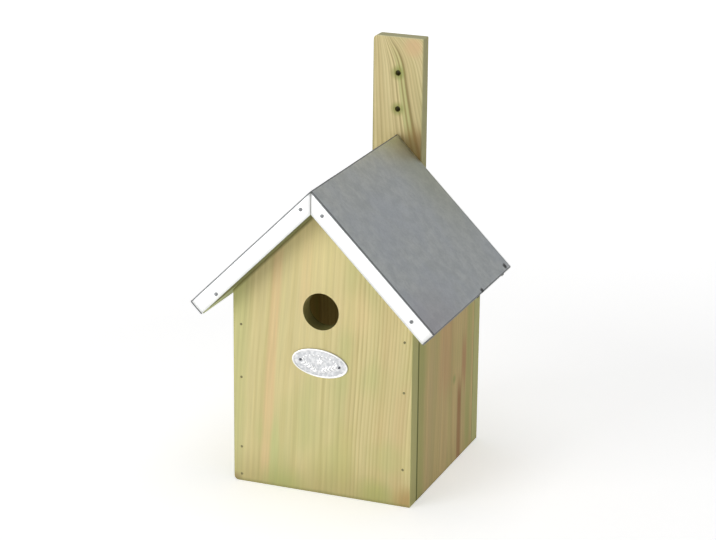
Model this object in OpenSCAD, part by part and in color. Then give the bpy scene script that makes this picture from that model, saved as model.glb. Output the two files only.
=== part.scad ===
// Nest box with a pitched, sheet-metal covered roof and a batten at the back to hang it by.
// X runs across the width, the front with the entrance hole faces -Y, and +Z is up.
// The origin is on the ground, in the middle of the overall footprint.

/* [Box] */
// Width of the front wall, outside (mm)
box_w = 160; // [130:1:220]
// Depth of the box, front face to back face (mm)
box_d = 170; // [130:1:240]
// Thickness of the front, back, side and floor boards (mm)
board_t = 15; // [10:0.5:20]
// Gap left between the front wall and the ends of the side walls (mm)
front_joint = 0.6; // [0:0.1:0.9]
// Gap left round the floor board (mm)
floor_fit = 0.3; // [0.1:0.1:0.8]
// Rounding of the front wall's lower left corner (mm)
left_corner_r = 4; // [1:0.5:8]
// Rounding of the front wall's lower right corner (mm)
right_corner_r = 1; // [0.5:0.5:8]

/* [Entrance] */
// Diameter of the entrance hole (mm)
entrance_d = 32; // [26:1:45]
// Height of the entrance hole's centre above the ground (mm)
entrance_z = 161.5; // [120:0.5:180]
// Sideways offset of the entrance hole's centre (mm)
entrance_x = -1; // [-10:0.5:10]

/* [Roof] */
// Height of the ridge above the ground (mm)
ridge_z = 272; // [250:1:330]
// Pitch of both slopes (degrees)
pitch = 45; // [35:1:50]
// Length of a slope from the ridge to the eave (mm)
slope_l = 152.5; // [135:0.5:200]
// Thickness of the roof boards (mm)
roof_board_t = 14; // [8:0.5:20]
// Overhang of the roof in front of the front wall (mm)
overhang = 25; // [10:1:60]
// Thickness of the roof sheet (mm)
sheet_t = 0.8; // [0.5:0.1:1.5]
// Depth of the sheet's folded front strips, square to the slope (mm)
fascia_h = 14; // [10:0.5:25]
// Depth of the sheet's folded eave strips, square to the slope (mm)
eave_h = 14; // [10:0.5:25]
// Width of the seam between the two front strips at the ridge (mm)
seam_w = 0.6; // [0.3:0.1:1.5]
// Width of the seam between a front strip and the eave strip beside it (mm)
corner_seam_w = 0.3; // [0.2:0.1:1]
// Distance of the sheet's back edge from the back of the roof boards (mm)
sheet_set_back = 1; // [0:0.5:5]

/* [Batten] */
// Width of the hanging batten (mm)
batten_w = 46; // [30:1:80]
// Thickness of the hanging batten (mm)
batten_t = 12; // [8:0.5:25]
// Height of the batten's top above the ground (mm)
batten_top_z = 358; // [320:1:420]
// Rounding of the batten's top left corner (mm)
batten_left_r = 4; // [1:0.5:10]
// Rounding of the batten's top right corner (mm)
batten_right_r = 1; // [0.5:0.5:10]
// Diameter of the two hanging holes (mm)
hang_d = 5; // [4:0.5:8]
// Height of the upper hanging hole above the ground (mm)
hang_z = 326; // [300:1:340]
// Distance between the two hanging holes (mm)
hang_spacing = 32; // [20:1:45]

/* [Plaque] */
// Length of the oval plaque (mm)
plaque_w = 50; // [30:1:70]
// Height of the oval plaque (mm)
plaque_h = 24.5; // [15:0.5:35]
// Thickness of the plaque's plate (mm)
plaque_t = 0.8; // [0.5:0.1:1.5]
// Width of the plaque's raised rim (mm)
plaque_rim_w = 1.6; // [0.8:0.1:3]
// Height of the rim above the plate (mm)
plaque_rim_h = 0.4; // [0.2:0.1:1]
// Height of the plaque's centre above the ground (mm)
plaque_z = 116.5; // [70:0.5:125]
// Sideways offset of the plaque's centre (mm)
plaque_x = -1.5; // [-10:0.5:10]
// Turn of the plaque, clockwise as seen from the front (degrees)
plaque_turn = 4; // [0:0.5:10]
// Distance between the plaque's two pins (mm)
pin_spacing = 35; // [20:1:40]

/* [Nails and screws] */
// Heights of the nails down the front wall's left edge (mm)
left_nails_z = [6, 31, 94, 141];
// Heights of the nails down the front wall's right edge (mm)
right_nails_z = [33, 101, 145];
// Heights of the nails down both edges of the back wall (mm)
back_nails_z = [33, 97, 143];
// Distance of the wall nails from the wall's edge (mm)
nail_inset = 7; // [5:0.5:8]
// Diameter of a wall nail's head (mm)
wall_head_d = 2.2; // [1.8:0.1:3]
// Thickness of every nail's and pin's head (mm)
head_t = 0.6; // [0.4:0.1:1]
// Diameter of a sheet nail's head (mm)
sheet_head_d = 3; // [2.4:0.1:4]
// Diameter of every nail's shank (mm)
shank_d = 1.4; // [1:0.1:1.8]
// Length of a wall nail (mm)
wall_nail_l = 35; // [25:1:40]
// Length of a sheet nail (mm)
sheet_nail_l = 20; // [12:1:25]
// Places of the left front strip's nails: down the slope from the ridge, and below its top (mm)
left_strip_nails = [[18, 5.5], [129, 10]];
// Places of the right front strip's nails, given in the same way (mm)
right_strip_nails = [[21, 7], [132, 8]];
// Distances of the eave nails from the back of the roof (mm)
eave_nails_in = [75, 10];
// Distance of the floor nails from the floor board's corners (mm)
floor_nail_in = 35; // [22:1:45]
// Diameter of a batten screw's head (mm)
screw_head_d = 7; // [5:0.5:9]
// Diameter of a batten screw's shank (mm)
screw_d = 3.5; // [3:0.5:4]
// Length of a batten screw (mm)
screw_l = 25; // [16:1:26]
// Heights of the batten screws (mm)
screws_z = [45, 140];
// Clearance of every nail, pin and screw in its hole, on the radius (mm)
nail_fit = 0.05; // [0.03:0.01:0.1]

/* [Hidden] */
$fn = 48;
overall_d = head_t + overhang + box_d + batten_t;
front_y = -overall_d / 2 + head_t + overhang;
back_y = front_y + box_d;
fascia_y = front_y - overhang;
nail_x = box_w / 2 - nail_inset;
inner_w = box_w - 2 * board_t;
inner_d = box_d - 2 * board_t;
chamber_y = front_y + board_t;
nail_over = 0.5;
cut = 1;

// A point of a roof slope's cross-section: along from the ridge, deep square to the slope
function slope_point(along, deep) = [
    along * cos(pitch) - deep * sin(pitch),
    ridge_z - along * sin(pitch) - deep * cos(pitch)
];
// The point below the ridge where a layer that lies deep under the sheet's face turns over
function ridge_point(deep) = [0, ridge_z - deep / cos(pitch)];
function mirrored(points) = [for (i = [len(points) - 1:-1:0]) [-points[i][0], points[i][1]]];
// Height of the roof boards' underside over the place x
function underside(x) = ridge_point(sheet_t + roof_board_t)[1] - abs(x) * tan(pitch);

side_names = ["left", "right"];
sides = [-1, 1];
front_nails = concat(
    [for (i = [0:len(left_nails_z) - 1]) [str("front_nail_left_", i + 1), -nail_x, left_nails_z[i]]],
    [for (i = [0:len(right_nails_z) - 1]) [str("front_nail_right_", i + 1), nail_x, right_nails_z[i]]]
);
back_nails = [
    for (s = [0, 1], i = [0:len(back_nails_z) - 1])
        [str("back_nail_", side_names[s], "_", i + 1), sides[s] * nail_x, back_nails_z[i]]
];
strip_nails = [left_strip_nails, right_strip_nails];
fascia_nails = [
    for (s = [0, 1], i = [0:len(strip_nails[s]) - 1])
        [str("fascia_nail_", side_names[s], "_", i + 1), sides[s], strip_nails[s][i]]
];
eave_nails = [
    for (s = [0, 1], i = [0:len(eave_nails_in) - 1])
        [str("eave_nail_", side_names[s], "_", i + 1), sides[s], back_y - eave_nails_in[i]]
];
floor_side_nails = [
    ["floor_side_nail_1", chamber_y + floor_nail_in],
    ["floor_side_nail_2", chamber_y + inner_d - floor_nail_in]
];
floor_back_nails = [
    ["floor_back_nail_1", floor_nail_in - inner_w / 2],
    ["floor_back_nail_2", inner_w / 2 - floor_nail_in]
];
batten_screws = [["batten_screw_low", screws_z[0]], ["batten_screw_high", screws_z[1]]];
plaque_pins = [["plaque_pin_left", -pin_spacing / 2], ["plaque_pin_right", pin_spacing / 2]];

function names(rows) = [for (row = rows) row[0]];

// A nail that points along +Z from its seat at z = 0, with its head above the seat
module nail(head_d, length) {
    translate([0, 0, -head_t]) cylinder(h = head_t, d = head_d);
    translate([0, 0, -head_t / 2]) cylinder(h = length + head_t / 2, d = shank_d);
}

// The hole that a nail goes into, open towards its head
module nail_hole(head_d, length, sunk) {
    translate([0, 0, -cut]) cylinder(h = length + nail_over + cut, r = shank_d / 2 + nail_fit);
    if (sunk) {
        translate([0, 0, -head_t - cut]) cylinder(h = head_t + cut, r = head_d / 2 + nail_fit);
    }
}

// Places of the nails and pins, each with +Z pointing into the wood
module at_front(x, z, depth = 0) {
    translate([x, front_y + depth, z]) rotate([-90, 0, 0]) children();
}
module at_back(x, z, depth = 0) {
    translate([x, back_y - depth, z]) rotate([90, 0, 0]) children();
}
module at_left(y, z, depth = 0) {
    translate([-box_w / 2 + depth, y, z]) rotate([0, 90, 0]) children();
}
module at_fascia(side, place) {
    p = slope_point(place[0], place[1]);
    translate([side * p[0], fascia_y, p[1]]) rotate([-90, 0, 0]) children();
}
module at_eave(side, y) {
    p = slope_point(slope_l, eave_h / 2);
    translate([side * p[0], y, p[1]]) rotate([0, side * (pitch - 90), 0]) children();
}
module at_batten(z) {
    translate([0, back_y + batten_t, z]) rotate([90, 0, 0]) children();
}
// The plaque's own frame: X along its length, Y up its height, +Z out of the front wall
module at_plaque() {
    translate([plaque_x, front_y, plaque_z]) rotate([90, 0, 0]) rotate([0, 0, -plaque_turn]) children();
}

// An outline in the plane of a wall, stood up and given its thickness from y towards +Y
module stand_up(y, thickness) {
    translate([0, y + thickness, 0]) rotate([90, 0, 0]) linear_extrude(thickness) children();
}

module corner_waste(r) {
    difference() {
        translate([-cut, -cut]) square(r + cut);
        translate([r, r]) circle(r);
    }
}

module gable_outline() {
    eave_point = [box_w / 2, underside(box_w / 2)];
    polygon([[-box_w / 2, 0], [box_w / 2, 0], eave_point, [0, underside(0)], [-eave_point[0], eave_point[1]]]);
}

module front_wall_nail_holes() {
    for (n = front_nails) {
        at_front(n[1], n[2], head_t) nail_hole(wall_head_d, wall_nail_l, true);
    }
}
module back_wall_nail_holes() {
    for (n = back_nails) {
        at_back(n[1], n[2], head_t) nail_hole(wall_head_d, wall_nail_l, true);
    }
}
module floor_nail_holes() {
    for (n = floor_side_nails) {
        at_left(n[1], board_t / 2, head_t) nail_hole(wall_head_d, wall_nail_l, true);
    }
    for (n = floor_back_nails) {
        at_back(n[1], board_t / 2, head_t) nail_hole(wall_head_d, wall_nail_l, true);
    }
}
module fascia_nail_holes(side) {
    for (n = fascia_nails) {
        if (n[1] == side) {
            at_fascia(side, n[2]) nail_hole(sheet_head_d, sheet_nail_l, false);
        }
    }
}
module eave_nail_holes(side) {
    for (n = eave_nails) {
        if (n[1] == side) {
            at_eave(side, n[2]) nail_hole(sheet_head_d, sheet_nail_l, false);
        }
    }
}
module pin_holes() {
    for (p = plaque_pins) {
        at_plaque() translate([p[1], 0, plaque_t]) rotate([180, 0, 0])
            nail_hole(wall_head_d, board_t - nail_over - plaque_t, false);
    }
}
module batten_screw_holes() {
    for (s = batten_screws) {
        at_batten(s[1]) {
            translate([0, 0, -cut]) cylinder(h = screw_l + nail_over + cut, r = screw_d / 2 + nail_fit);
            translate([0, 0, -cut]) cylinder(h = head_t + cut, r = screw_head_d / 2 + nail_fit);
        }
    }
}

// The front board, with the entrance hole bored through it
module front_wall() {
    color("#d0c48f")
        difference() {
            stand_up(front_y, board_t)
                difference() {
                    gable_outline();
                    translate([-box_w / 2, 0]) corner_waste(left_corner_r);
                    translate([box_w / 2, 0]) mirror([1, 0]) corner_waste(right_corner_r);
                }
            at_front(entrance_x, entrance_z, -cut) cylinder(h = board_t + 2 * cut, d = entrance_d);
            front_wall_nail_holes();
            pin_holes();
        }
}

module back_wall() {
    color("#bdb47e")
        difference() {
            stand_up(back_y - board_t, board_t) gable_outline();
            back_wall_nail_holes();
            floor_nail_holes();
            batten_screw_holes();
        }
}

// A side board between the front and back walls, its top cut to the pitch of the roof
module side_wall(side) {
    outer = box_w / 2;
    inner = outer - board_t;
    start = chamber_y + front_joint;
    stand_up(start, inner_d - front_joint)
        polygon([
            [side * inner, 0],
            [side * outer, 0],
            [side * outer, underside(outer)],
            [side * inner, underside(inner)]
        ]);
}

module left_wall() {
    color("#979359")
        difference() {
            side_wall(-1);
            front_wall_nail_holes();
            back_wall_nail_holes();
            floor_nail_holes();
        }
}

module right_wall() {
    color("#979359")
        difference() {
            side_wall(1);
            front_wall_nail_holes();
            back_wall_nail_holes();
        }
}

module floor_board() {
    color("#bdb47e")
        difference() {
            translate([-inner_w / 2 + floor_fit, chamber_y + floor_fit, 0])
                cube([inner_w - 2 * floor_fit, inner_d - 2 * floor_fit, board_t]);
            floor_nail_holes();
        }
}

// A roof board under the sheet, mitred against the other one at the ridge
module roof_board(side) {
    end = slope_l - sheet_t;
    difference() {
        stand_up(fascia_y + sheet_t, overhang + box_d - sheet_t)
            scale_x(side)
                polygon([
                    ridge_point(sheet_t),
                    slope_point(end, sheet_t),
                    slope_point(end, sheet_t + roof_board_t),
                    ridge_point(sheet_t + roof_board_t)
                ]);
        fascia_nail_holes(side);
        eave_nail_holes(side);
    }
}

module scale_x(side) {
    if (side < 0) {
        mirror([1, 0]) children();
    } else {
        children();
    }
}

module left_roof_board() {
    color("#bdb47e") roof_board(-1);
}

module right_roof_board() {
    color("#bdb47e") roof_board(1);
}

// The sheet: bent over the ridge, and folded down along both eaves and the front
module roof_sheet() {
    outer = [[0, ridge_z], slope_point(slope_l, 0), slope_point(slope_l, eave_h)];
    inner = [slope_point(slope_l - sheet_t, eave_h), slope_point(slope_l - sheet_t, sheet_t), ridge_point(sheet_t)];
    half = concat(outer, inner);
    front = [[0, ridge_z], slope_point(slope_l, 0), slope_point(slope_l, fascia_h), ridge_point(fascia_h)];
    seam_end = slope_l - sheet_t;
    corner_seam = [
        slope_point(seam_end, sheet_t),
        slope_point(seam_end, fascia_h + cut),
        slope_point(seam_end - corner_seam_w, fascia_h + cut),
        slope_point(seam_end - corner_seam_w, sheet_t)
    ];
    color("#9a9e9f")
        difference() {
            union() {
                stand_up(fascia_y, overhang + box_d - sheet_set_back) {
                    polygon(half);
                    polygon(mirrored(half));
                }
                stand_up(fascia_y, sheet_t) {
                    polygon(front);
                    polygon(mirrored(front));
                }
            }
            translate([-seam_w / 2, fascia_y - cut, ridge_z - 2 * fascia_h - sheet_t])
                cube([seam_w, cut + sheet_t, 2 * fascia_h]);
            for (side = sides) {
                stand_up(fascia_y - cut, cut + sheet_t) scale_x(side) polygon(corner_seam);
                fascia_nail_holes(side);
                eave_nail_holes(side);
            }
        }
}

// The batten that the box hangs by, with two holes in its upper end
module batten() {
    color("#cfc18b")
        difference() {
            stand_up(back_y, batten_t)
                difference() {
                    translate([-batten_w / 2, 0]) square([batten_w, batten_top_z]);
                    translate([-batten_w / 2, batten_top_z]) mirror([0, 1]) corner_waste(batten_left_r);
                    translate([batten_w / 2, batten_top_z]) rotate(180) corner_waste(batten_right_r);
                }
            for (z = [hang_z, hang_z - hang_spacing]) {
                at_back(0, z, cut) mirror([0, 0, 1]) cylinder(h = batten_t + 2 * cut, d = hang_d);
            }
            batten_screw_holes();
        }
}

function oval(w, h, steps = 72) = [
    for (i = [0:steps - 1]) [w / 2 * cos(360 * i / steps), h / 2 * sin(360 * i / steps)]
];

// The oval plaque: a thin plate with a raised rim
module plaque() {
    color("#e4e4e2")
        difference() {
            at_plaque() {
                linear_extrude(plaque_t) polygon(oval(plaque_w, plaque_h));
                linear_extrude(plaque_t + plaque_rim_h)
                    difference() {
                        polygon(oval(plaque_w, plaque_h));
                        polygon(oval(plaque_w - 2 * plaque_rim_w, plaque_h - 2 * plaque_rim_w));
                    }
            }
            pin_holes();
        }
}

module plaque_pin(p) {
    color("#b9b9b6")
        at_plaque() translate([p[1], 0, plaque_t]) rotate([180, 0, 0])
            nail(wall_head_d, board_t - nail_over - plaque_t);
}

module front_nail(n) {
    color("#6d6a52") at_front(n[1], n[2], head_t) nail(wall_head_d, wall_nail_l);
}

module back_nail(n) {
    color("#6d6a52") at_back(n[1], n[2], head_t) nail(wall_head_d, wall_nail_l);
}

module floor_side_nail(n) {
    color("#6d6a52") at_left(n[1], board_t / 2, head_t) nail(wall_head_d, wall_nail_l);
}

module floor_back_nail(n) {
    color("#6d6a52") at_back(n[1], board_t / 2, head_t) nail(wall_head_d, wall_nail_l);
}

module fascia_nail(n) {
    color("#8b8e90") at_fascia(n[1], n[2]) nail(sheet_head_d, sheet_nail_l);
}

module eave_nail(n) {
    color("#8b8e90") at_eave(n[1], n[2]) nail(sheet_head_d, sheet_nail_l);
}

module batten_screw(s) {
    color("#a5a29a")
        at_batten(s[1]) {
            cylinder(h = head_t, d = screw_head_d);
            cylinder(h = screw_l, d = screw_d);
        }
}

front_wall();
back_wall();
left_wall();
right_wall();
floor_board();
left_roof_board();
right_roof_board();
roof_sheet();
batten();
plaque();
for (p = plaque_pins) plaque_pin(p);
for (n = front_nails) front_nail(n);
for (n = back_nails) back_nail(n);
for (n = floor_side_nails) floor_side_nail(n);
for (n = floor_back_nails) floor_back_nail(n);
for (n = fascia_nails) fascia_nail(n);
for (n = eave_nails) eave_nail(n);
for (s = batten_screws) batten_screw(s);
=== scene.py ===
import math

import bmesh
import bpy
from mathutils import Matrix, Vector, noise


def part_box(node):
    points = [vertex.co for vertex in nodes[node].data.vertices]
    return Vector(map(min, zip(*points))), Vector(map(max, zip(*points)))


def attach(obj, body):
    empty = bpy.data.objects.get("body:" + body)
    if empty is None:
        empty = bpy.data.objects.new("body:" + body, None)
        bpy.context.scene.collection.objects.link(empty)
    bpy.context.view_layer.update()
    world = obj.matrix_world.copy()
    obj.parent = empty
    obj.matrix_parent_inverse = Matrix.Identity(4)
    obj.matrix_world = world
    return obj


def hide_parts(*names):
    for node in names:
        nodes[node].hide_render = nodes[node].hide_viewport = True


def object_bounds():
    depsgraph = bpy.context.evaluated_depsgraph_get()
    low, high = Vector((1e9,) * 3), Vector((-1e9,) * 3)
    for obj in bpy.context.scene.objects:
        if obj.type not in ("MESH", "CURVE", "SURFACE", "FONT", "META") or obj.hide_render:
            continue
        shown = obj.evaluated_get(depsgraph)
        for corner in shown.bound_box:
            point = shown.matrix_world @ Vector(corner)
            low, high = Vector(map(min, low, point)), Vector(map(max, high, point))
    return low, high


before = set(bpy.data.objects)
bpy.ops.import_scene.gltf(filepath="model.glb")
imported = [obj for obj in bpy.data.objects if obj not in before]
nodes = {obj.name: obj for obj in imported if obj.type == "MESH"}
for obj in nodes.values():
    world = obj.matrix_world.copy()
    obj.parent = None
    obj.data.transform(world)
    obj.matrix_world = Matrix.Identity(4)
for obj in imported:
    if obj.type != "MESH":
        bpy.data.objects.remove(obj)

cad_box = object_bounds()


# The studio: a wide pale floor that glows, a dim sky, a soft lamp to the left of the front and one
# overhead, and a faint light in the box. The camera stands back to the right, and looks down a little.
class Wire:
    """An output of a node. Sums on it add Math nodes to its tree."""

    def __init__(self, recipe, socket):
        self.recipe = recipe
        self.socket = socket

    def math(self, operation, *others):
        return self.recipe.node("ShaderNodeMath", {"operation": operation}, (self, *others))

    def __add__(self, other):
        return self.math("ADD", other)

    def __sub__(self, other):
        return self.math("SUBTRACT", other)

    def __rsub__(self, other):
        return self.recipe.node("ShaderNodeMath", {"operation": "SUBTRACT"}, (other, self))

    def __mul__(self, other):
        return self.math("MULTIPLY", other)

    def __truediv__(self, other):
        return self.math("DIVIDE", other)

    __radd__ = __add__
    __rmul__ = __mul__


class Recipe:
    """A tree of nodes, in which one method makes any node."""

    def __init__(self, tree):
        self.tree = tree

    def node(self, kind, settings=None, values=(), output=0):
        made = self.tree.nodes.new(kind)
        for setting, value in (settings or {}).items():
            setattr(made, setting, value)
        pairs = values.items() if isinstance(values, dict) else enumerate(values)
        for key, value in pairs:
            self.join(made.inputs[key], value)
        return Wire(self, made.outputs[output])

    def join(self, socket, value):
        if isinstance(value, Wire):
            self.tree.links.new(value.socket, socket)
        else:
            socket.default_value = value

    def vector(self, x, y, z):
        return self.node("ShaderNodeCombineXYZ", values=(x, y, z))

    def split(self, vector):
        parts = self.node("ShaderNodeSeparateXYZ", values=(vector,)).socket.node
        return [Wire(self, output) for output in parts.outputs]


class Finish(Recipe):
    """A material: the recipe of its one shader, with the mixes that finishes share."""

    def __init__(self, name, fixed):
        self.material = bpy.data.materials.new(name)
        self.material.use_nodes = True
        super().__init__(self.material.node_tree)
        self.shader = self.tree.nodes["Principled BSDF"]
        for socket, value in fixed.items():
            self.shader.inputs[socket].default_value = value

    def place(self):
        return self.split(self.node("ShaderNodeTexCoord", output="Object"))

    def gap_to(self, spot):
        """The distance of each point of the surface from a spot."""
        here = self.node("ShaderNodeTexCoord", output="Object")
        return self.node("ShaderNodeVectorMath", {"operation": "DISTANCE"}, (here, spot), "Value")

    def noise(self, x, y, z, detail=2, roughness=0.5):
        settings = {"noise_dimensions": "3D"}
        values = {"Vector": self.vector(x, y, z), "Scale": 1, "Detail": detail, "Roughness": roughness}
        return self.node("ShaderNodeTexNoise", settings, values)

    def ease(self, value, start, end):
        """0 at start and before it, 1 at end and past it, and a soft step between."""
        settings = {"interpolation_type": "SMOOTHSTEP"}
        return self.node("ShaderNodeMapRange", settings, (value, start, end, 0, 1))

    def blend(self, share, first, second):
        return self.node("ShaderNodeMix", {"data_type": "RGBA"}, {0: share, 6: first, 7: second}, 2)

    def shade(self, colour, share):
        return self.node("ShaderNodeVectorMath", {"operation": "SCALE"}, {0: colour, 3: share})

    def painted(self, name):
        return self.node("ShaderNodeAttribute", {"attribute_name": name}, output="Fac")

    def relief(self, height, strength, depth):
        values = {"Strength": strength, "Distance": depth, "Height": height}
        return self.node("ShaderNodeBump", None, values)

    def coat(self, **inputs):
        for socket, value in inputs.items():
            self.join(self.shader.inputs[socket.replace("_", " ")], value)
        return self.material


camera_place = (0.7238, -1.8366, 0.8165)
camera_turn = 21.49
camera_dip = 18.013
camera_roll = 0.5625
lens_mm = 122.87
sensor_mm = 36
floor_radius = 14
floor_glow = 0.45
far_glow = 0.85
glow_starts, glow_ends = 0.4, 2.0
sky_light = 0.3
stray_light_place = (0, 0, 0.08)
stray_light_power = 0.02
stray_light_radius = 0.03
wood_glow = (1, 0.85, 0.6)

camera = bpy.data.objects.new("camera", bpy.data.cameras.new("camera"))
camera.data.lens = lens_mm
camera.data.sensor_width = sensor_mm
camera.matrix_world = (
    Matrix.Translation(camera_place)
    @ Matrix.Rotation(math.radians(camera_turn), 4, "Z")
    @ Matrix.Rotation(math.radians(90 - camera_dip), 4, "X")
    @ Matrix.Rotation(math.radians(camera_roll), 4, "Z")
)
bpy.context.collection.objects.link(camera)
bpy.context.scene.camera = camera

middle = (cad_box[0] + cad_box[1]) / 2


def soft_lamp(name, azimuth, elevation, distance, size, power):
    """A square lamp that faces the middle of the box. Azimuth 0 is straight in front of it."""
    turn, rise = math.radians(azimuth), math.radians(elevation)
    way = Vector((
        math.sin(turn) * math.cos(rise), -math.cos(turn) * math.cos(rise), math.sin(rise)
    ))
    lamp = bpy.data.objects.new(name, bpy.data.lights.new(name, "AREA"))
    lamp.data.size = size
    lamp.data.energy = power
    lamp.location = middle + way * distance
    lamp.rotation_euler = way.to_track_quat("Z", "Y").to_euler()
    bpy.context.collection.objects.link(lamp)


soft_lamp("front_lamp", azimuth=-34, elevation=8, distance=2.3, size=1.4, power=26)
soft_lamp("top_lamp", azimuth=0, elevation=88, distance=2.0, size=1.6, power=13)

stray_light = bpy.data.objects.new("stray_light", bpy.data.lights.new("stray_light", "POINT"))
stray_light.data.energy = stray_light_power
stray_light.data.shadow_soft_size = stray_light_radius
stray_light.data.color = wood_glow
stray_light.location = stray_light_place
bpy.context.collection.objects.link(stray_light)

world = bpy.data.worlds.new("sky")
world.use_nodes = True
sky = Recipe(world.node_tree)
seen_by_camera = sky.node("ShaderNodeLightPath", output="Is Camera Ray")
strength = sky.node("ShaderNodeMapRange", None, (seen_by_camera, 0, 1, sky_light, 1))
background = world.node_tree.nodes["Background"]
background.inputs["Color"].default_value = (1, 1, 1, 1)
sky.join(background.inputs["Strength"], strength)
bpy.context.scene.world = world
bpy.context.scene.view_settings.view_transform = "Standard"

floor_mesh = bpy.data.meshes.new("floor")
floor_form = bmesh.new()
bmesh.ops.create_circle(floor_form, cap_ends=True, segments=64, radius=floor_radius)
floor_form.to_mesh(floor_mesh)
floor_form.free()
studio_floor = bpy.data.objects.new("studio_floor", floor_mesh)
bpy.context.collection.objects.link(studio_floor)
floor_paint = Finish("pale_floor", {
    "Base Color": (0.9, 0.9, 0.9, 1), "Roughness": 0.9,
    "Specular IOR Level": 0.1, "Emission Color": (1, 1, 1, 1),
})
floor_glows = (floor_paint.gap_to((0, 0, 0)), glow_starts, glow_ends, floor_glow, far_glow)
floor_mesh.materials.append(floor_paint.coat(
    Emission_Strength=floor_paint.node("ShaderNodeMapRange", None, floor_glows)
))


# The front wall is one planed pine board with upright grain, pressure treated to a pale green.
# It is bored for the entrance, and nailed onto the front edges of the side walls.
def srgb(red, green, blue):
    """A colour given from 0 to 255, as the light that it returns."""
    parts = [part / 255 for part in (red, green, blue)]
    return [part / 12.92 if part < 0.04 else ((part + 0.055) / 1.055) ** 2.4 for part in parts] + [1]


def pine(name, axes, pith, lean, seed, ring=0.0030, pale=(212, 199, 146), late=(176, 158, 100),
         green=(178, 186, 122), streaks=(), stains_and_painted_light=(), grime_and_shade=(), contrast=1.0, wander=0.010,
         fan=0, bow=0, level=0, quiet=None):
    """Pine sawn from a log: yearly rings round a leaning pith, fibres, treatment stain and streaks.

    axes names the axes across the board, through it and along its grain, and pith is where the
    log's middle crosses the first two. The lean grows by fan across the board. Past the height
    level the rings bend over by bow, but less towards the board's left edge. They are faint before
    quiet[0] and full past quiet[1]. Streaks follow the grain and end strand by strand. Stains are
    round, and some of them are painted light, and some painted shade. Grime is a slope between two
    distances, and some of it is painted shade.
    """
    finish = Finish(name, {"Specular IOR Level": 0.3})
    x, y, z = finish.place()
    across, through, along = [{"x": x, "y": y, "z": z}[axis] for axis in axes]
    drift = finish.noise(across * 7 + seed, through * 7, along * 5, 1)
    drift_through = finish.noise(across * 7, through * 7 + seed, along * 5 + 4.7, 1)
    spread = (along - level).math("MAXIMUM", -0.1) * across * fan
    flow = across - (along - level) * lean[0] - spread + (drift - 0.5) * wander
    if bow:
        past = (along - level).math("MAXIMUM", 0)
        flow = flow + past * past * past * bow * finish.ease(across, -0.022, -0.004)
    depth = through - along * lean[1] + (drift_through - 0.5) * wander
    from_pith = (flow - pith[0]) * (flow - pith[0]) + (depth - pith[1]) * (depth - pith[1])
    growth = finish.noise(flow * 22, depth * 22, along * 1.5 + seed, 1)
    rings = from_pith.math("SQRT") / ring + growth * 3
    season = rings.math("FRACT")
    year = rings.math("FLOOR")
    vigour = finish.node("ShaderNodeTexWhiteNoise", {"noise_dimensions": "1D"}, {"W": year + seed})
    latewood = finish.ease(season, 0.25, 0.88) * (1 - finish.ease(season, 0.9, 1.0))
    latewood = latewood * (vigour * 0.6 + 0.4)
    fibre = finish.noise(flow * 620, depth * 620, along * 14, 3)
    strand = finish.noise(flow * 170, depth * 170, along * 3.5 + seed, 2)
    band = finish.noise(flow * 34, depth * 34, along * 2.2 + seed, 1)
    cloud = finish.noise(across * 16 + seed, through * 16, along * 8, 2)

    if quiet:
        contrast = finish.ease(across, *quiet) * 0.7 * contrast + 0.3 * contrast
    colour = finish.blend(latewood * contrast * 0.6, srgb(*pale), srgb(*late))
    colour = finish.blend(finish.ease(strand, 0.42, 0.72) * 0.3, colour, srgb(*late))
    colour = finish.blend(finish.ease(band, 0.5, 0.75) * 0.45, colour, srgb(*green))
    colour = finish.blend(finish.ease(cloud, 0.52, 0.72) * 0.5, colour, srgb(*green))
    for at, width, low, high, tint, strength in streaks:
        offset = flow - at
        band_mask = 1 - finish.ease(offset.math("ABSOLUTE"), width * 0.3, width)
        ragged = along + (strand - 0.5) * 0.05
        length_mask = finish.ease(ragged, low, low + 0.03) * (1 - finish.ease(ragged, high - 0.03, high))
        share = band_mask * length_mask * (strand * 0.7 + 0.5) * strength
        colour = finish.blend(share, colour, srgb(*tint))
    for spot, radius, tint, strength in stains_and_painted_light:
        share = 1 - finish.ease(finish.gap_to(spot) + (cloud - 0.5) * radius, radius * 0.2, radius)
        colour = finish.blend(share * strength, colour, srgb(*tint))
    for weights, start, end, tint, strength in grime_and_shade:
        reach = x.math("ABSOLUTE") * weights[0] + y * weights[1] + z * weights[2]
        share = finish.ease(reach + (cloud - 0.5) * 0.3 * abs(end - start), start, end) * strength
        colour = finish.blend(share, colour, srgb(*tint))
    colour = finish.blend(finish.painted("bored") * 0.8, colour, srgb(124, 120, 62))
    tone = fibre * 0.26 + strand * 0.08 + 0.83
    tone = tone * (1 - finish.painted("cut_end") * 0.1) * (1 - finish.painted("eased") * 0.14)
    height = fibre * 0.6 + latewood * 0.5
    return finish.coat(
        Base_Color=finish.shade(colour, tone),
        Roughness=0.74 - latewood * 0.14 + fibre * 0.1,
        Normal=finish.relief(height, 0.35, 0.0004),
    )


same_place = 1e-6
flat_angle = math.radians(0.6)


def merged(node):
    """A copy of a CAD node's mesh with its loose triangles joined into flat faces."""
    form = bmesh.new()
    form.from_mesh(nodes[node].data)
    bmesh.ops.remove_doubles(form, verts=form.verts, dist=same_place)
    bmesh.ops.dissolve_limit(
        form, angle_limit=flat_angle, verts=form.verts, edges=form.edges, use_dissolve_boundaries=False
    )
    return form


def ease_edges(form, edges, width, segments):
    """Rounds edges, and paints the faces that come of it."""
    painted = form.faces.layers.float.new("eased")
    made = bmesh.ops.bevel(
        form, geom=edges, offset=width, offset_type="OFFSET", segments=segments,
        profile=0.5, affect="EDGES", clamp_overlap=True,
    )
    for face in made["faces"]:
        face[painted] = 1


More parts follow.
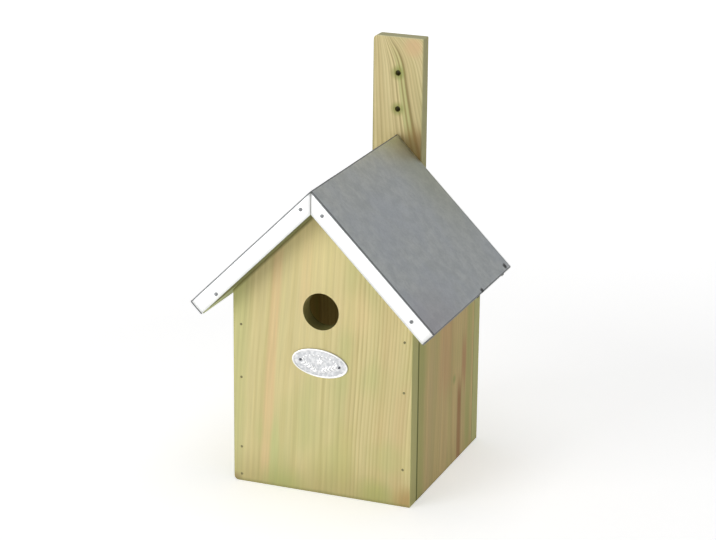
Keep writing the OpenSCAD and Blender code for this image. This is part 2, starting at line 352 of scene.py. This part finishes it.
def finished(name, form, material, replaced):
    """The form as a piece of the nest box, standing for the CAD nodes that it replaces."""
    mesh = bpy.data.meshes.new(name)
    form.to_mesh(mesh)
    form.free()
    mesh.materials.append(material)
    piece = bpy.data.objects.new(name, mesh)
    bpy.context.collection.objects.link(piece)
    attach(piece, "root")
    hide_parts(*replaced)
    return piece


shortest_board_edge = 0.005
sharp_angle = math.radians(25)
eased_width = 0.0007
eased_steps = 2
sliver_width = 0.00005
end_facing = 0.6
bore_facing = 0.1


def board(name, node, material, grain, rim=None, holes=()):
    """A board as it comes from the planer: corners eased, and cut ends and bored holes painted.

    grain is the axis that the grain follows, rim tells which further edges are eased, and holes
    are the middles and radii of the round holes to paint.
    """
    form = merged(node)
    ends = form.faces.layers.float.new("cut_end")
    bored = form.faces.layers.float.new("bored")
    for face in form.faces:
        face[ends] = 1 if abs(face.normal[grain]) > end_facing else 0
        for middle, radius in holes:
            off = face.calc_center_median() - middle
            if math.hypot(off.x, off.z) < radius and abs(face.normal.y) < bore_facing:
                face[bored] = 1
    edges = [
        edge for edge in form.edges
        if edge.is_manifold and edge.calc_length() > shortest_board_edge
        and edge.calc_face_angle() > sharp_angle
    ]
    if rim:
        edges += [edge for edge in form.edges if edge.is_manifold and rim(edge)]
    ease_edges(form, edges, eased_width, eased_steps)
    bmesh.ops.remove_doubles(form, verts=form.verts, dist=sliver_width)
    return finished(name, form, material, [node])


front_low, front_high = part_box("front_wall")
entrance_middle = Vector((-0.001, 0, 0.1615))
entrance_radius = 0.016
paint_reach = 0.0005
rim_tolerance = 0.0003
same_depth = 1e-5


def entrance_rim(edge):
    """True on the two circles where the entrance breaks out of the front wall."""
    for vertex in edge.verts:
        off = vertex.co - entrance_middle
        if abs(math.hypot(off.x, off.z) - entrance_radius) > rim_tolerance:
            return False
    return abs(edge.verts[0].co.y - edge.verts[1].co.y) < same_depth


joint_y = front_high.y
front_pine = pine(
    "front_pine", "xyz", (-0.034, -0.02), (0.05, 0.02), 3.1, ring=0.0026, quiet=(-0.01, 0.045),
    contrast=1.15,
    streaks=[
        (-0.050, 0.0065, -0.01, 0.23, (224, 186, 142), 0.5),
        (-0.024, 0.007, 0.14, 0.24, (224, 186, 142), 0.3),
        (-0.043, 0.006, -0.01, 0.07, (178, 196, 128), 0.45),
        (0.052, 0.012, -0.01, 0.20, (210, 184, 136), 0.3),
        (0.066, 0.009, -0.01, 0.12, (204, 178, 132), 0.5),
        (0.020, 0.012, -0.01, 0.08, (192, 184, 118), 0.5),
    ],
    stains_and_painted_light=[
        ((front_low.x, front_low.y, 0), 0.010, (150, 124, 96), 0.9),
        ((front_high.x, front_low.y, 0.002), 0.022, (184, 144, 92), 0.8),
        ((-0.035, front_low.y, 0), 0.030, (170, 188, 116), 0.6),
        ((0.050, front_low.y, 0.006), 0.022, (168, 182, 104), 0.6),
        ((0.005, front_low.y, 0.03), 0.030, (184, 184, 118), 0.4),
        ((0.060, front_low.y, 0.04), 0.025, (178, 184, 118), 0.4),
        # Painted light: two pale patches, at the gable top and right of the entrance, lighten the shade
        # under the roof's overhang.
        ((0.004, front_low.y, 0.222), 0.060, (230, 214, 156), 0.5),
        ((0.030, front_low.y, 0.165), 0.030, (230, 204, 152), 0.35),
    ],
    grime_and_shade=[
        # Painted shade: a dark band along the sloping top edges, under the roof boards.
        ((0.707, 0, 0.707), 0.1745, 0.1775, (112, 108, 54), 0.85),
        ((0, 0, 1), 0.040, -0.006, (158, 146, 92), 0.5),
        ((0, 0, 1), 0.0035, -0.0005, (136, 132, 80), 0.8),
        ((1, 0, 0), front_high.x - 0.0007, front_high.x - 0.0002, (168, 166, 106), 0.8),
        ((0, 1, 0), joint_y - 0.0022, joint_y - 0.0004, (96, 98, 44), 0.9),
    ],
)
board("front_wall_board", "front_wall", front_pine, 2, entrance_rim,
      [(entrance_middle, entrance_radius + paint_reach)])


# The side walls are two pine boards, set between the front and back walls. Both are cut from
# redder heartwood, which the treatment has turned olive. The right one has brown streaks.
side_low, side_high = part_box("right_wall")
joint_stain = (104, 106, 50)
edge_green = (150, 156, 88)
side_pine_right = pine(
    "side_pine_right", "yxz", (0.01, 0.11), (0.02, 0.03), 8.4, ring=0.0034,
    pale=(198, 176, 122), late=(162, 136, 86), green=(168, 164, 100), contrast=0.8,
    streaks=[
        (0.041, 0.0075, -0.04, 0.085, (152, 106, 66), 0.95),
        (0.051, 0.008, 0.055, 0.125, (172, 126, 86), 0.75),
        (0.004, 0.026, 0.06, 0.22, (190, 148, 106), 0.55),
        (-0.030, 0.014, -0.01, 0.20, (176, 158, 110), 0.5),
        (0.064, 0.010, -0.01, 0.22, (150, 160, 88), 0.6),
    ],
    stains_and_painted_light=[((side_high.x, 0.027, 0.078), 0.007, (138, 150, 84), 0.6)],
    grime_and_shade=[
        ((0, 1, 0), side_low.y + 0.024, side_low.y + 0.008, edge_green, 0.6),
        ((0, 1, 0), side_low.y + 0.0016, side_low.y + 0.0004, joint_stain, 0.95),
        ((0, 1, 0), side_high.y - 0.0012, side_high.y - 0.0002, joint_stain, 0.6),
        ((0, 0, 1), 0.003, -0.0005, (120, 112, 70), 0.6),
    ],
)
side_pine_left = pine(
    "side_pine_left", "yxz", (-0.02, -0.11), (0.02, -0.02), 12.6, ring=0.0032,
    pale=(198, 184, 126), late=(162, 142, 88), green=(162, 168, 100),
    grime_and_shade=[
        ((0, 1, 0), side_low.y + 0.024, side_low.y + 0.008, edge_green, 0.5),
        ((0, 1, 0), side_low.y + 0.0016, side_low.y + 0.0004, joint_stain, 0.9),
        ((0, 0, 1), 0.003, -0.0005, (120, 112, 70), 0.6),
    ],
)
board("right_wall_board", "right_wall", side_pine_right, 2)
board("left_wall_board", "left_wall", side_pine_left, 2)


# The back wall is a board like the front one, without an entrance, and nailed on in the same way.
# The floor is a board that lies between the four walls, with its grain from side to side.
back_pine = pine(
    "back_pine", "xyz", (0.02, 0.12), (-0.04, 0.01), 21.3,
    grime_and_shade=[
        ((1, 0, 0), side_high.x - 0.0007, side_high.x - 0.0002, (172, 172, 112), 0.8),
        ((0, 0, 1), 0.003, -0.0005, (136, 132, 80), 0.7),
    ],
)
floor_pine = pine("floor_pine", "yzx", (0.01, -0.03), (0.02, 0.0), 17.9)
board("back_wall_board", "back_wall", back_pine, 2)
board("bottom_board", "floor_board", floor_pine, 0)


# The roof boards lie on the sloping tops of the walls, and run from the front to the back.
# Their grain follows the ridge, where the two boards are mitred against each other.
roof_pine = pine(
    "roof_pine", "xzy", (0.03, 0.14), (0.03, 0.02), 26.2, ring=0.0036,
    pale=(192, 200, 154), late=(156, 160, 110), green=(162, 176, 120),
    # Painted shade: the boards darken towards the front end and the ridge, over the walls, where their
    # underside lies in shade.
    grime_and_shade=[((1, 0.6, 0), 0.030, 0.022, (104, 102, 52), 0.8)],
)
board("left_roof_plank", "left_roof_board", roof_pine, 1)
board("right_roof_plank", "right_roof_board", roof_pine, 1)


# The batten is a strip of pine with two holes, from which the box hangs. It is screwed to the back
# wall, stands on the ground with it, and rises past the ridge. Its grain slants across it.
batten_low, batten_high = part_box("batten")
hanging_heights = (0.326, 0.294)
hanging_holes = [Vector((0, batten_low.y, height)) for height in hanging_heights]
hanging_radius = 0.0025
batten_pine = pine(
    "batten_pine", "xyz", (0.0426, 0.085), (-0.12, 0.02), 31.7, ring=0.0030,
    pale=(214, 200, 150), late=(160, 138, 86), contrast=1.05, fan=-4.5, bow=260, level=0.32,
    streaks=[
        (0.0030, 0.005, 0.16, 0.36, (178, 188, 120), 0.55),
        (0.0066, 0.0016, 0.16, 0.37, (132, 112, 62), 0.85),
        (0.0026, 0.0012, 0.20, 0.37, (146, 128, 76), 0.7),
        (-0.0024, 0.0012, 0.24, 0.37, (156, 136, 84), 0.6),
        (-0.0064, 0.0010, 0.20, 0.37, (160, 140, 88), 0.5),
    ],
    stains_and_painted_light=[((hole.x, hole.y, hole.z), 0.008, (128, 138, 62), 0.7) for hole in hanging_holes] + [
        # Painted shadow: a brown patch low on the batten's front, right of the ridge, where the roof
        # shades it.
        ((0.018, batten_low.y, 0.262), 0.024, (160, 128, 80), 0.7),
        ((0.014, batten_low.y, 0.350), 0.012, (212, 178, 134), 0.7),
    ],
    grime_and_shade=[
        ((1, 0, 0), batten_high.x - 0.0014, batten_high.x - 0.0001, (160, 156, 112), 0.85),
        ((0, 0, 1), batten_high.z - 0.0012, batten_high.z - 0.0001, (196, 194, 154), 0.85),
    ],
)
board("hanging_batten", "batten", batten_pine, 2,
      holes=[(hole, hanging_radius + paint_reach) for hole in hanging_holes])


# The roof sheet is one piece of zinc, bent over the ridge and folded down along the eaves and the
# front. Weather has dulled it to a cloudy grey, and the folds are painted dark.
def zinc(scuffs):
    """Weathered zinc: cloudy, with a painted white highlight on the front strips, a painted yellow
    reflection of the batten, and dark on the bends.
    """
    finish = Finish("zinc", {"Specular IOR Level": 0.5})
    x, y, z = finish.place()
    broad = finish.noise(x * 24, y * 24, z * 24, 3)
    cloud = finish.noise(x * 110, y * 110, z * 110, 5, 0.65)
    speck = finish.noise(x * 520, y * 520, z * 520, 2)
    fold = finish.painted("eased")
    strip = finish.painted("strip")
    colour = finish.blend(finish.ease(cloud, 0.35, 0.65), srgb(215, 220, 221), srgb(226, 230, 230))
    colour = finish.blend(finish.ease(broad, 0.4, 0.7) * 0.5, colour, srgb(216, 222, 230))
    foot = finish.ease(x, 0.070, 0.107) * finish.ease(0 - y, 0.0, 0.1)
    colour = finish.blend(foot * 0.5, colour, srgb(204, 198, 206))
    # Painted reflection: the sheet turns yellower near the batten, at the back of the ridge.
    batten_reflection = finish.ease(y, 0.02, 0.09) * finish.ease(z, 0.17, 0.26)
    colour = finish.blend(batten_reflection * 0.6, colour, srgb(206, 208, 176))
    # Painted highlight: the front strips are painted near white and made less metallic.
    colour = finish.blend(strip * 0.85, colour, srgb(252, 253, 252))
    colour = finish.blend(fold * 0.75, colour, srgb(84, 86, 86))
    for spot, radius in scuffs:
        scuff = 1 - finish.ease(finish.gap_to(spot) + (speck - 0.5) * radius, radius * 0.4, radius)
        colour = finish.blend(scuff * 0.85, colour, srgb(50, 50, 46))
    tone = (speck * 0.18 + cloud * 0.10) * (1 - strip * 0.8) + strip * 0.09 + 0.89
    return finish.coat(
        Base_Color=finish.shade(colour, tone),
        Metallic=0.92 - fold * 0.3 - strip * 0.35,
        Roughness=0.4 + cloud * 0.16 + fold * 0.15,
        Normal=finish.relief(cloud + speck * 0.2, 0.12, 0.0004),
    )


sheet_low, sheet_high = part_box("roof_sheet")
pitch = math.radians(45)
slope_length = sheet_high.x / math.cos(pitch)
strip_height = 0.014
sheet_thickness = 0.0008
bend_radius = 0.0012
ridge_seam = 0.0006
corner_seam = 0.0003
bend_steps = 4
slope_columns = 36
slope_rows = 40
strip_rows = 4
dent_depth = 0.00022
dent_waves = (26, 22, 26)


def slope_point(along, deep, y):
    """A point of the right slope: how far down it from the ridge, and how deep under its top."""
    x = along * math.cos(pitch) - deep * math.sin(pitch)
    z = sheet_high.z - along * math.sin(pitch) - deep * math.cos(pitch)
    return Vector((x, y, z))


def sheet_outline(y):
    """Half of the sheet's outer outline from the ridge to the foot of the eave strip."""
    outline = []
    for step in range(bend_steps + 1):
        turn = pitch * step / bend_steps
        drop = bend_radius * (1 / math.cos(pitch) - math.cos(turn))
        outline.append(Vector((bend_radius * math.sin(turn), y, sheet_high.z - drop)))
    start, end = bend_radius * math.tan(pitch), slope_length - bend_radius
    for column in range(1, slope_columns + 1):
        outline.append(slope_point(start + (end - start) * column / slope_columns, 0, y))
    for step in range(1, bend_steps + 1):
        turn = math.pi / 2 * step / bend_steps
        deep = bend_radius * (1 - math.cos(turn))
        outline.append(slope_point(end + bend_radius * math.sin(turn), deep, y))
    return outline + [slope_point(slope_length, strip_height, y)]


def strip_row(row):
    """A row of a front strip: round the bend from the slope first, then down to its cut edge."""
    if row <= bend_steps:
        turn = math.pi / 2 * row / bend_steps
        deep = bend_radius * (1 - math.cos(turn))
        y = sheet_low.y + bend_radius * (1 - math.sin(turn))
    else:
        deep = bend_radius + (strip_height - bend_radius) * (row - bend_steps) / strip_rows
        y = sheet_low.y
    start = max(bend_radius, deep) * math.tan(pitch) + ridge_seam / 2 / math.cos(pitch)
    end = slope_length - max(bend_radius, sheet_thickness + corner_seam)
    return [
        slope_point(start + (end - start) * column / slope_columns, deep, y)
        for column in range(slope_columns + 1)
    ]


def dent(point):
    """How far the sheet stands off true at a point, from handling and from its nails."""
    return dent_depth * noise.noise(point * Vector(dent_waves))


def folded_sheet():
    """The sheet's outer skin: both slopes with their eave strips, then the two front strips."""
    form = bmesh.new()
    eased = form.faces.layers.float.new("eased")
    front_strip = form.faces.layers.float.new("strip")
    folded = sheet_low.y + bend_radius
    reach = [sheet_low.y] + [
        folded + (sheet_high.y - folded) * row / slope_rows for row in range(slope_rows + 1)
    ]
    first, last = bend_steps, bend_steps + slope_columns
    for side in (-1, 1):
        mirror = Vector((side, 1, 1))
        grid = [[form.verts.new(point * mirror) for point in sheet_outline(y)] for y in reach]
        strips = [grid[1][first:last + 1]] + [
            [form.verts.new(point * mirror) for point in strip_row(row)]
            for row in range(1, bend_steps + strip_rows + 1)
        ]
        for rows, bends in ((grid, None), (strips, bend_steps)):
            for row, (near, far) in enumerate(zip(rows, rows[1:])):
                for column in range(len(near) - 1):
                    on_slope = first <= column < last
                    if bends is None and row == 0 and on_slope:
                        continue
                    corners = (near[column], near[column + 1], far[column + 1], far[column])
                    face = form.faces.new(corners if side > 0 else corners[::-1])
                    if bends is not None:
                        face.normal_flip()
                        face[eased] = 1 if row < bends else 0
                        face[front_strip] = 0 if row < bends else 1
                    else:
                        on_strip = column == len(near) - 2 and row > 0
                        face[eased] = 0 if on_slope or on_strip else 1
    bmesh.ops.remove_doubles(form, verts=form.verts, dist=same_place)
    form.normal_update()
    for vertex in form.verts:
        if not vertex.is_boundary:
            vertex.co += vertex.normal * dent(vertex.co)
    for face in form.faces:
        face.smooth = True
    return form


# Each scuff by the right eave: how far up from the edge, how far from the back, and its radius
scuff_places = [(0.0043, 0.0083, 0.0038), (0.0012, 0.0745, 0.0036)]
eave_scuffs = [
    (slope_point(slope_length - up, 0, sheet_high.y - inward), radius)
    for up, inward, radius in scuff_places
]
zinc_roof = finished("zinc_roof", folded_sheet(), zinc(eave_scuffs), ["roof_sheet"])
thickness = zinc_roof.modifiers.new("thickness", "SOLIDIFY")
thickness.thickness = sheet_thickness
thickness.offset = -1
thickness.use_even_offset = True


# Every nail, pin and screw is steel: a head with its shank in the wood. The heads differ in how
# they are domed or dished, and a screw's has a cross for the driver.
cross_reach = 0.45
cross_depth = 0.7
point_start = 0.86
point_taper = 6.4


def fastener_tree():
    """Geometry nodes that set a head and a shank at each point, along the way that it faces."""
    tree = bpy.data.node_groups.new("fasteners", "GeometryNodeTree")
    tree.interface.new_socket("Geometry", in_out="INPUT", socket_type="NodeSocketGeometry")
    for name in ("Head radius", "Head height", "Dome", "Shank radius", "Length", "Cross width"):
        tree.interface.new_socket(name, in_out="INPUT", socket_type="NodeSocketFloat")
    tree.interface.new_socket("Seed", in_out="INPUT", socket_type="NodeSocketInt")
    tree.interface.new_socket("Metal", in_out="INPUT", socket_type="NodeSocketMaterial")
    tree.interface.new_socket("Geometry", in_out="OUTPUT", socket_type="NodeSocketGeometry")
    recipe = Recipe(tree)
    given = tree.nodes.new("NodeGroupInput").outputs
    points, radius, height, dome, shank, length, cross, seed, metal = [
        Wire(recipe, output) for output in list(given)[:9]
    ]
    head = recipe.node("GeometryNodeMeshCylinder", {"fill_type": "TRIANGLE_FAN"}, {
        "Vertices": 32, "Side Segments": 1, "Fill Segments": 8, "Radius": radius, "Depth": height,
    })
    x, y, z = recipe.split(recipe.node("GeometryNodeInputPosition"))
    out = (x * x + y * y) / (radius * radius)
    near_axis = x.math("ABSOLUTE").math("MINIMUM", y.math("ABSOLUTE"))
    in_cross = near_axis.math("LESS_THAN", cross) * out.math("LESS_THAN", cross_reach)
    top = z.math("GREATER_THAN", 0)
    rise = ((1 - out) * dome - in_cross * height * cross_depth) * top - height / 2
    head = recipe.node("GeometryNodeSetPosition", None, {
        "Geometry": head, "Offset": recipe.vector(0, 0, rise),
    })
    stem = recipe.node("GeometryNodeMeshCylinder", None, {
        "Vertices": 12, "Side Segments": 6, "Fill Segments": 1, "Radius": shank, "Depth": length,
    })
    depth = (length / 2 - z) / length
    taper = 1 - (depth - point_start).math("MAXIMUM", 0) * point_taper
    stem = recipe.node("GeometryNodeSetPosition", None, {
        "Geometry": stem, "Position": recipe.vector(x * taper, y * taper, z - length / 2 - height),
    })
    fastener = recipe.tree.nodes.new("GeometryNodeJoinGeometry")
    recipe.tree.links.new(head.socket, fastener.inputs[0])
    recipe.tree.links.new(stem.socket, fastener.inputs[0])
    facing = recipe.node("GeometryNodeInputNamedAttribute", {"data_type": "FLOAT_VECTOR"}, ("facing",))
    aim = recipe.node("FunctionNodeAlignRotationToVector", {"axis": "Z"}, {"Vector": facing})
    placed = recipe.node("GeometryNodeInstanceOnPoints", None, {
        "Points": points, "Instance": Wire(recipe, fastener.outputs[0]), "Rotation": aim,
    })
    spin = recipe.node("FunctionNodeRandomValue", {"data_type": "FLOAT"}, {
        2: 0.0, 3: math.tau, "Seed": seed,
    }, 1)
    turned = recipe.node("GeometryNodeRotateInstances", None, {
        "Instances": placed, "Rotation": recipe.vector(0, 0, spin),
    })
    solid = recipe.node("GeometryNodeRealizeInstances", None, (turned,))
    plated = recipe.node("GeometryNodeSetMaterial", None, {"Geometry": solid, "Material": metal})
    result = tree.nodes.new("NodeGroupOutput")
    tree.links.new(plated.socket, result.inputs[0])
    return tree


fasteners = fastener_tree()
face_depth = 1e-5


def drive(name, places, sizes, metal, seed):
    """Fasteners at the heads of CAD nodes. places gives each node's name and the way it faces."""
    points = bpy.data.meshes.new(name + "_points")
    centres = []
    for node, facing in places:
        corners = [vertex.co for vertex in nodes[node].data.vertices]
        reach = max(corner.dot(facing) for corner in corners)
        face = [corner for corner in corners if corner.dot(facing) > reach - face_depth]
        low = Vector([min(corner[axis] for corner in face) for axis in range(3)])
        high = Vector([max(corner[axis] for corner in face) for axis in range(3)])
        centres.append((low + high) / 2)
    points.from_pydata(centres, [], [])
    attribute = points.attributes.new("facing", "FLOAT_VECTOR", "POINT")
    for index, (node, facing) in enumerate(places):
        attribute.data[index].vector = facing
    seeds = bpy.data.objects.new(name + "_points", points)
    bpy.context.collection.objects.link(seeds)
    grower = seeds.modifiers.new("fasteners", "NODES")
    grower.node_group = fasteners
    inputs = {**sizes, "Seed": seed, "Metal": metal}
    for item in fasteners.interface.items_tree:
        if item.in_out == "INPUT" and item.name in inputs:
            grower[item.identifier] = inputs[item.name]
    evaluated = seeds.evaluated_get(bpy.context.evaluated_depsgraph_get())
    mesh = bpy.data.meshes.new_from_object(evaluated)
    mesh.name = name
    bpy.data.objects.remove(seeds)
    piece = bpy.data.objects.new(name, mesh)
    bpy.context.collection.objects.link(piece)
    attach(piece, "root")
    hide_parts(*[node for node, facing in places])
    return piece


def steel(name, bright, dull, roughness, metallic=0.85):
    """Plain or plated steel, duller in patches."""
    finish = Finish(name, {"Specular IOR Level": 0.5})
    x, y, z = finish.place()
    patch = finish.noise(x * 900, y * 900, z * 900, 3)
    grime_and_shade = finish.noise(x * 260 + 5, y * 260, z * 260, 2)
    colour = finish.blend(finish.ease(patch, 0.35, 0.65), srgb(*dull), srgb(*bright))
    return finish.coat(
        Base_Color=finish.shade(colour, grime_and_shade * 0.3 + 0.85),
        Metallic=metallic - grime_and_shade * 0.2,
        Roughness=roughness + patch * 0.2,
        Normal=finish.relief(patch, 0.25, 0.0001),
    )


def named(start):
    """The CAD nodes whose names begin so."""
    return sorted(name for name in nodes if name.startswith(start))


wall_nail_steel = steel("wall_nail_steel", (146, 140, 96), (104, 98, 60), 0.5, 0.4)
wall_nail = {
    "Head radius": 0.0011, "Head height": 0.0006, "Dome": -0.00012,
    "Shank radius": 0.0007, "Length": 0.0340, "Cross width": 0.0,
}
forward, backward = Vector((0, -1, 0)), Vector((0, 1, 0))
leftward = Vector((-1, 0, 0))
drive("front_wall_nails", [(n, forward) for n in named("front_nail")], wall_nail,
      wall_nail_steel, 1)
drive("back_wall_nails", [(n, backward) for n in named("back_nail")], wall_nail,
      wall_nail_steel, 2)
drive("floor_nails", [(n, leftward) for n in named("floor_side_nail")]
      + [(n, backward) for n in named("floor_back_nail")], wall_nail,
      wall_nail_steel, 3)

# The sheet's nails have domed heads. Those of the eaves are darker.
sheet_nail_steel = steel("sheet_nail_steel", (150, 152, 154), (104, 106, 108), 0.4)
sheet_nail = {
    "Head radius": 0.0015, "Head height": 0.0006, "Dome": 0.00025,
    "Shank radius": 0.0007, "Length": 0.0190, "Cross width": 0.0,
}
drive("fascia_nails", [(n, forward) for n in named("fascia_nail")], sheet_nail,
      sheet_nail_steel, 4)
eave_nail_steel = steel("eave_nail_steel", (84, 80, 74), (50, 48, 44), 0.6, 0.4)
down_slope = math.cos(pitch)
drive("eave_nails",
      [(n, Vector((-down_slope, 0, -down_slope))) for n in named("eave_nail_left")]
      + [(n, Vector((down_slope, 0, -down_slope))) for n in named("eave_nail_right")],
      sheet_nail, eave_nail_steel, 5)

screw_steel = steel("screw_steel", (190, 188, 176), (150, 146, 130), 0.3)
batten_screw = {
    "Head radius": 0.0035, "Head height": 0.0006, "Dome": 0.0001,
    "Shank radius": 0.00175, "Length": 0.0240, "Cross width": 0.00055,
}
drive("batten_screws", [(n, backward) for n in named("batten_screw")], batten_screw,
      screw_steel, 6)


# The plaque is a small oval of bright stamped metal, with a raised rim and a low relief of sprigs,
# berries and a flower. Two pins hold it to the front wall.
plaque_low, plaque_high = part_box("plaque")
plaque_middle = (plaque_low + plaque_high) / 2
plaque_turn = math.radians(-4)
plaque_half_width, plaque_half_height = 0.025, 0.01225
plate_thickness = 0.0008
rim_width, rim_height = 0.0016, 0.0004
plate_rings, plate_spokes = 80, 240
hollow_depth = 0.0001


def plaque_metal():
    """Bright metal, a little duller in the hollows between the rim and the relief."""
    finish = Finish("plaque_metal", {"Specular IOR Level": 0.6})
    x, y, z = finish.place()
    haze = finish.noise(x * 330, y * 330, z * 330, 3)
    hollow = finish.painted("hollow")
    dull = hollow * (finish.ease(haze, 0.35, 0.62) * 0.5 + 0.38)
    colour = finish.blend(dull, srgb(246, 246, 246), srgb(186, 188, 192))
    return finish.coat(
        Base_Color=finish.shade(colour, haze * 0.1 + 0.93),
        Metallic=0.8 - hollow * 0.1,
        Roughness=0.3 + haze * 0.12 + hollow * 0.15,
        Normal=finish.relief(haze, 0.1, 0.0001),
    )


def bump_at(across, up, at, half_length, half_width, turn, height):
    """The height of one rounded leaf or bead at a point of the plate."""
    along = (across - at[0]) * math.cos(turn) + (up - at[1]) * math.sin(turn)
    aside = (up - at[1]) * math.cos(turn) - (across - at[0]) * math.sin(turn)
    fall = 1 - (along / half_length) ** 2 - (aside / half_width) ** 2
    return height * math.sqrt(fall) if fall > 0 else 0


relief_height = 0.00034
leaf_pairs = 5
leaf_length, leaf_width = 0.0019, 0.0007
leaf_foot, leaf_step = (0.0026, -0.0062), (0.0028, 0.0013)
leaf_aside = 0.0008
leaf_leans = ((0.95, 0.0015), (-0.35, -0.0009))
sprig_tilt = 0.0003
berries = 5
berry_radius, berry_height = 0.0008, 0.0003
berry_arc = (0.0158, 0.0066)
berry_start, berry_step = 24, 15
petals = 5
petal_length, petal_width = 0.0014, 0.0008
petal_reach, petal_turn = 0.0017, 0.3


def sprig_relief(across, up):
    """Two leafy sprigs from the foot of the plate, a row of berries above each, and a flower."""
    side = 1 if across > 0 else -1
    across = abs(across)
    height = 0
    for leaf in range(leaf_pairs):
        stem_across = leaf_foot[0] + leaf * leaf_step[0]
        stem_up = leaf_foot[1] + leaf * leaf_step[1] + sprig_tilt * side
        for lean, lift in leaf_leans:
            at = (stem_across + leaf_aside, stem_up + lift)
            height = max(height, bump_at(across, up, at, leaf_length, leaf_width, lean, relief_height))
    for berry in range(berries):
        turn = math.radians(berry_start + berry * berry_step)
        at = (berry_arc[0] * math.cos(turn), berry_arc[1] * math.sin(turn))
        height = max(height, bump_at(across, up, at, berry_radius, berry_radius, 0, berry_height))
    for petal in range(petals):
        turn = math.tau * petal / petals + petal_turn
        at = (abs(petal_reach * math.cos(turn)), petal_reach + petal_reach * math.sin(turn))
        height = max(height, bump_at(across, up, at, petal_length, petal_width, turn, relief_height))
    return height


def plaque_form():
    """The plate as rings of points from its middle out to the rim, closed at the back."""
    form = bmesh.new()
    hollow = form.faces.layers.float.new("hollow")
    settle = (
        Matrix.Translation((plaque_middle.x, plaque_high.y, plaque_middle.z))
        @ Matrix.Rotation(math.pi / 2, 4, "X") @ Matrix.Rotation(plaque_turn, 4, "Z")
    )
    front = [[form.verts.new(settle @ Vector((0, 0, plate_thickness + sprig_relief(0, 0))))]]
    for ring in range(1, plate_rings + 1):
        circle = []
        for spoke in range(plate_spokes):
            turn = math.tau * spoke / plate_spokes
            share = ring / plate_rings
            across = plaque_half_width * share * math.cos(turn)
            up = plaque_half_height * share * math.sin(turn)
            stretch = math.hypot(plaque_half_height * math.cos(turn), plaque_half_width * math.sin(turn))
            inset = (1 - share) * plaque_half_width * plaque_half_height / stretch
            height = sprig_relief(across, up)
            if inset < rim_width:
                round_off = 1 - (2 * inset / rim_width - 1) ** 2
                height = rim_height * math.sqrt(max(round_off, 0))
            circle.append(form.verts.new(settle @ Vector((across, up, plate_thickness + height))))
        front.append(circle)
    back_of = [
        form.verts.new(settle @ Vector((
            plaque_half_width * math.cos(math.tau * spoke / plate_spokes),
            plaque_half_height * math.sin(math.tau * spoke / plate_spokes), 0,
        ))) for spoke in range(plate_spokes)
    ]
    level = plaque_high.y - plate_thickness - hollow_depth
    for spoke in range(plate_spokes):
        after = (spoke + 1) % plate_spokes
        form.faces.new((front[0][0], front[1][spoke], front[1][after]))
        for inner, outer in zip(front[1:], front[2:]):
            form.faces.new((inner[spoke], outer[spoke], outer[after], inner[after]))
        form.faces.new((front[-1][spoke], back_of[spoke], back_of[after], front[-1][after]))
    form.faces.new(back_of[::-1])
    for face in form.faces:
        face.smooth = True
        face[hollow] = 1 if face.calc_center_median().y > level else 0
    bmesh.ops.recalc_face_normals(form, faces=form.faces)
    return form


finished("oval_plaque", plaque_form(), plaque_metal(), ["plaque"])
pin_steel = steel("pin_steel", (112, 114, 120), (76, 78, 84), 0.3)
plaque_pin = {
    "Head radius": 0.0011, "Head height": 0.0006, "Dome": 0.0003,
    "Shank radius": 0.0007, "Length": 0.0120, "Cross width": 0.0,
}
drive("plaque_pins", [(n, forward) for n in named("plaque_pin")], plaque_pin,
      pin_steel, 7)
